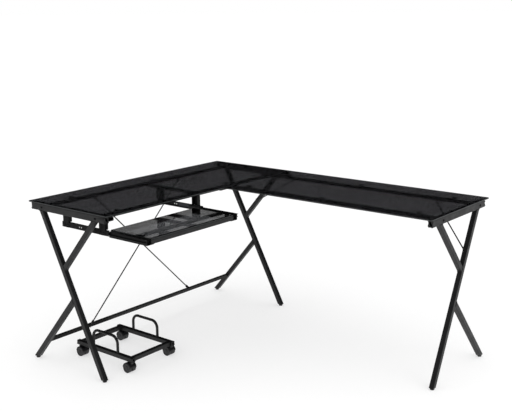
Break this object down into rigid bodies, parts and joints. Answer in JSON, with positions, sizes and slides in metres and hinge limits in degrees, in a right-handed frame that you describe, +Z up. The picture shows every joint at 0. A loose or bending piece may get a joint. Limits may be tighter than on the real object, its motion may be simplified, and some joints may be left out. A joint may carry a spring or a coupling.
{
  "type": "computer desk with keyboard tray",
  "caption": "L-shaped glass desk on three X-leg tube frames, with a pull-out keyboard tray on ball slides and a loose tower trolley on twin-wheel casters.",
  "frame": {"origin": "on the floor, under the middle of the desk's overall box", "axes": "+Z up; +X along the right wing away from the corner of the L; -Y along the left wing away from the corner"},
  "size_m": [1.6476, 1.295, 0.75],
  "materials": {
    "frame_powder_coat": "satin",
    "rail_powder_coat": "satin",
    "smoked_glass": "polished",
    "tray_glass": "polished",
    "pad_rubber": "matte",
    "black_polythene": "moulded",
    "black_oxide_bolts": "black oxide",
    "zinc_steel": "zinc plated",
    "caster_nylon": "moulded",
    "caster_wheel_nylon": "moulded"
  },
  "bodies": {
    "desk": {"glass_left": "smoked_glass", "glass_right": "smoked_glass", "glass_pads": "pad_rubber", "left_top_bar": "frame_powder_coat", "left_long_leg": "frame_powder_coat", "left_upper_leg": "frame_powder_coat", "left_lower_leg": "frame_powder_coat", "corner_top_bar": "frame_powder_coat", "corner_long_leg": "frame_powder_coat", "corner_upper_leg": "frame_powder_coat", "corner_lower_leg": "frame_powder_coat", "right_top_bar": "frame_powder_coat", "right_long_leg": "frame_powder_coat", "right_upper_leg": "frame_powder_coat", "right_lower_leg": "frame_powder_coat", "stretcher": "frame_powder_coat", "brace_rod_outer": "frame_powder_coat", "brace_rod_inner": "frame_powder_coat", "knee_rod_corner": "frame_powder_coat", "knee_rod_right": "frame_powder_coat", "rail_brackets": "frame_powder_coat", "left_crossbar": "rail_powder_coat", "left_rear_rail": "rail_powder_coat", "left_front_rail": "rail_powder_coat", "mid_crossbar": "rail_powder_coat", "right_rear_rail": "rail_powder_coat", "right_front_rail": "rail_powder_coat", "hangers_left": "rail_powder_coat", "hangers_right": "rail_powder_coat", "slide_channel_left": "rail_powder_coat", "slide_channel_right": "rail_powder_coat", "bar_end_caps": "black_polythene", "foot_glides": "black_polythene", "frame_bolts": "black_oxide_bolts", "rail_inserts": "zinc_steel", "desk_screws": "black_oxide_bolts"},
    "cage_left": {"ball_cage_left": "zinc_steel"},
    "cage_right": {"ball_cage_right": "zinc_steel"},
    "tray": {"slide_runner_left": "rail_powder_coat", "slide_runner_right": "rail_powder_coat", "tray_arms": "rail_powder_coat", "tray_cross_tubes": "frame_powder_coat", "tray_side_tubes": "frame_powder_coat", "tray_tube_caps": "black_polythene", "tray_glass": "tray_glass", "tray_screws": "black_oxide_bolts"},
    "trolley": {"trolley_near_tube": "frame_powder_coat", "trolley_far_tube": "frame_powder_coat", "trolley_cross_tubes": "frame_powder_coat", "trolley_tube_caps": "black_polythene", "guard_loop_near": "frame_powder_coat", "guard_loop_far": "frame_powder_coat"},
    "caster_near": {"caster_hood_near": "caster_nylon"},
    "wheels_near": {"caster_wheels_near": "caster_wheel_nylon"},
    "caster_right": {"caster_hood_right": "caster_nylon"},
    "wheels_right": {"caster_wheels_right": "caster_wheel_nylon"},
    "caster_left": {"caster_hood_left": "caster_nylon"},
    "wheels_left": {"caster_wheels_left": "caster_wheel_nylon"},
    "caster_far": {"caster_hood_far": "caster_nylon"},
    "wheels_far": {"caster_wheels_far": "caster_wheel_nylon"}
  },
  "joints": [
    {"name": "tray_slide", "type": "slide", "parent": "desk", "child": "tray", "axis": [1, 0, 0], "range_m": [-0.22, 0.01]},
    {"name": "cage_slide_left", "type": "slide", "parent": "desk", "child": "cage_left", "axis": [1, 0, 0], "range_m": [-0.11, 0.005]},
    {"name": "cage_slide_right", "type": "slide", "parent": "desk", "child": "cage_right", "axis": [1, 0, 0], "range_m": [-0.11, 0.005]},
    {"name": "trolley_roll", "type": "slide", "parent": "desk", "child": "trolley", "axis": [1, 0, 0], "range_m": [-0.1, 0.3]},
    {"name": "swivel_near", "type": "hinge", "parent": "trolley", "child": "caster_near", "pos_m": [-0.33125, -0.4905, 0.05], "axis": [0, 0, 1], "continuous": true},
    {"name": "spin_near", "type": "hinge", "parent": "caster_near", "child": "wheels_near", "pos_m": [-0.34425, -0.4905, 0.022], "axis": [0, 1, 0], "continuous": true},
    {"name": "swivel_right", "type": "hinge", "parent": "trolley", "child": "caster_right", "pos_m": [-0.33125, -0.2405, 0.05], "axis": [0, 0, 1], "continuous": true},
    {"name": "spin_right", "type": "hinge", "parent": "caster_right", "child": "wheels_right", "pos_m": [-0.34425, -0.2405, 0.022], "axis": [0, 1, 0], "continuous": true},
    {"name": "swivel_left", "type": "hinge", "parent": "trolley", "child": "caster_left", "pos_m": [-0.67424, -0.4905, 0.05], "axis": [0, 0, 1], "continuous": true},
    {"name": "spin_left", "type": "hinge", "parent": "caster_left", "child": "wheels_left", "pos_m": [-0.66124, -0.4905, 0.022], "axis": [0, 1, 0], "continuous": true},
    {"name": "swivel_far", "type": "hinge", "parent": "trolley", "child": "caster_far", "pos_m": [-0.67424, -0.2405, 0.05], "axis": [0, 0, 1], "continuous": true},
    {"name": "spin_far", "type": "hinge", "parent": "caster_far", "child": "wheels_far", "pos_m": [-0.66124, -0.2405, 0.022], "axis": [0, 1, 0], "continuous": true}
  ],
  "couplings": [
    {"joint": "cage_slide_left", "follows": "tray_slide", "ratio": 0.5},
    {"joint": "cage_slide_right", "follows": "tray_slide", "ratio": 0.5}
  ]
}
